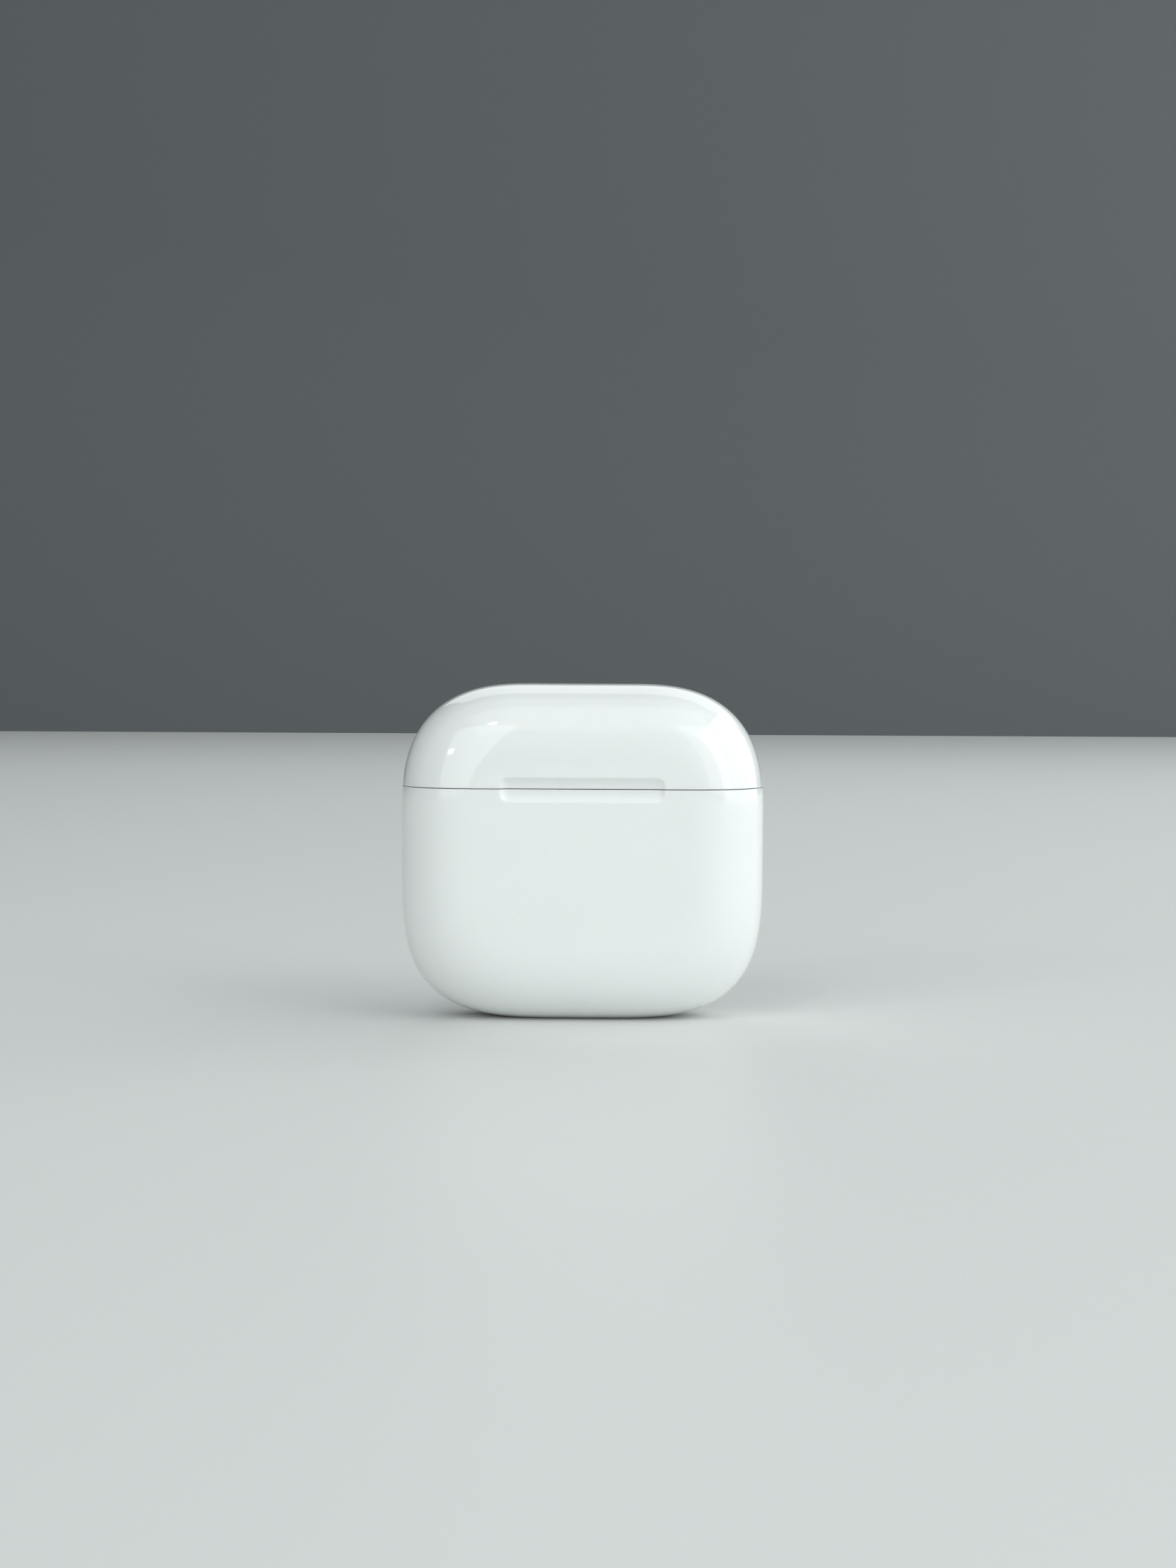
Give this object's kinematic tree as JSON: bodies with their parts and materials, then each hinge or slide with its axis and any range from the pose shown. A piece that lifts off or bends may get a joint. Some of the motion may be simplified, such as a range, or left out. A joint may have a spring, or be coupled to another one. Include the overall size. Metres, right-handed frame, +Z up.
{
  "type": "wireless earbuds case",
  "caption": "Glossy white pebble-shaped charging case for stem wireless earbuds, with a rear-hinged lid, a finger notch on the seam, sprung contacts and a charging port in the base.",
  "frame": {"origin": "on the flat foot at the base, midway across the width and midway through the depth", "axes": "+X to the right seen from the front, +Y to the back where the hinge is, +Z up"},
  "size_m": [0.05, 0.0214, 0.0462],
  "materials": {
    "shell_gloss": "polished white plastic",
    "frame_gloss": "polished white plastic",
    "stainless": "satin stainless steel",
    "spring_steel": "bright spring wire",
    "screw_steel": "plain steel",
    "magnet_nickel": "nickel-plated magnet",
    "circuit_board": "solder-masked laminate",
    "ribbon": "amber film",
    "contact_gold": "gold-plated brass",
    "port_steel": "drawn steel",
    "black_moulding": "black moulding",
    "seal_rubber": "soft black rubber and foam",
    "cell_foil": "foil pouch",
    "tab_nickel": "nickel strip",
    "lamp": "clear epoxy lamp",
    "clear_guide": "clear moulding",
    "coil_copper": "enamelled copper",
    "ferrite": "sintered ferrite"
  },
  "bodies": {
    "case_body": {"body_shell": "shell_gloss", "inner_frame": "frame_gloss", "hinge_body_leaf": "stainless", "hinge_pin": "stainless", "hinge_spring": "spring_steel", "contact_spring_left_outer": "spring_steel", "contact_spring_left_inner": "spring_steel", "contact_spring_right_inner": "spring_steel", "contact_spring_right_outer": "spring_steel", "body_leaf_screws": "screw_steel", "bracket_screws": "screw_steel", "board_screw": "screw_steel", "frame_magnets": "magnet_nickel", "bud_magnets": "magnet_nickel", "contact_board": "circuit_board", "port_board": "circuit_board", "main_board": "circuit_board", "contact_flex": "ribbon", "port_flex": "ribbon", "contact_barrels": "contact_gold", "port_contacts": "contact_gold", "port_shell": "port_steel", "port_bracket": "port_steel", "board_shield": "port_steel", "port_tongue": "black_moulding", "board_chips": "black_moulding", "lid_sensor": "black_moulding", "port_gasket": "seal_rubber", "battery_foam": "seal_rubber", "battery_cell_left": "cell_foil", "battery_cell_right": "cell_foil", "battery_tabs": "tab_nickel", "status_led": "lamp", "light_guide": "clear_guide", "charging_coil": "coil_copper", "ferrite_sheet": "ferrite"},
    "lid": {"lid_shell": "shell_gloss", "lid_liner": "frame_gloss", "hinge_lid_leaf": "stainless", "lid_leaf_screws": "screw_steel", "lid_magnets": "magnet_nickel", "sensor_magnet": "magnet_nickel"},
    "contact_pin_left_outer_plunger": {"contact_pin_left_outer": "contact_gold"},
    "contact_pin_left_inner_plunger": {"contact_pin_left_inner": "contact_gold"},
    "contact_pin_right_inner_plunger": {"contact_pin_right_inner": "contact_gold"},
    "contact_pin_right_outer_plunger": {"contact_pin_right_outer": "contact_gold"}
  },
  "joints": [
    {"name": "lid_hinge", "type": "hinge", "parent": "case_body", "child": "lid", "pos_m": [0, 0.00985, 0.03209], "axis": [-1, 0, 0], "range_deg": [0, 100]},
    {"name": "contact_pin_left_outer_slide", "type": "slide", "parent": "case_body", "child": "contact_pin_left_outer_plunger", "axis": [0, 0, -1], "range_m": [0, 0.0009], "stiffness_N_per_m": 300, "springref_m": -0.0005, "deforming": ["contact_spring_left_outer"]},
    {"name": "contact_pin_left_inner_slide", "type": "slide", "parent": "case_body", "child": "contact_pin_left_inner_plunger", "axis": [0, 0, -1], "range_m": [0, 0.0009], "stiffness_N_per_m": 300, "springref_m": -0.0005, "deforming": ["contact_spring_left_inner"]},
    {"name": "contact_pin_right_inner_slide", "type": "slide", "parent": "case_body", "child": "contact_pin_right_inner_plunger", "axis": [0, 0, -1], "range_m": [0, 0.0009], "stiffness_N_per_m": 300, "springref_m": -0.0005, "deforming": ["contact_spring_right_inner"]},
    {"name": "contact_pin_right_outer_slide", "type": "slide", "parent": "case_body", "child": "contact_pin_right_outer_plunger", "axis": [0, 0, -1], "range_m": [0, 0.0009], "stiffness_N_per_m": 300, "springref_m": -0.0005, "deforming": ["contact_spring_right_outer"]}
  ]
}
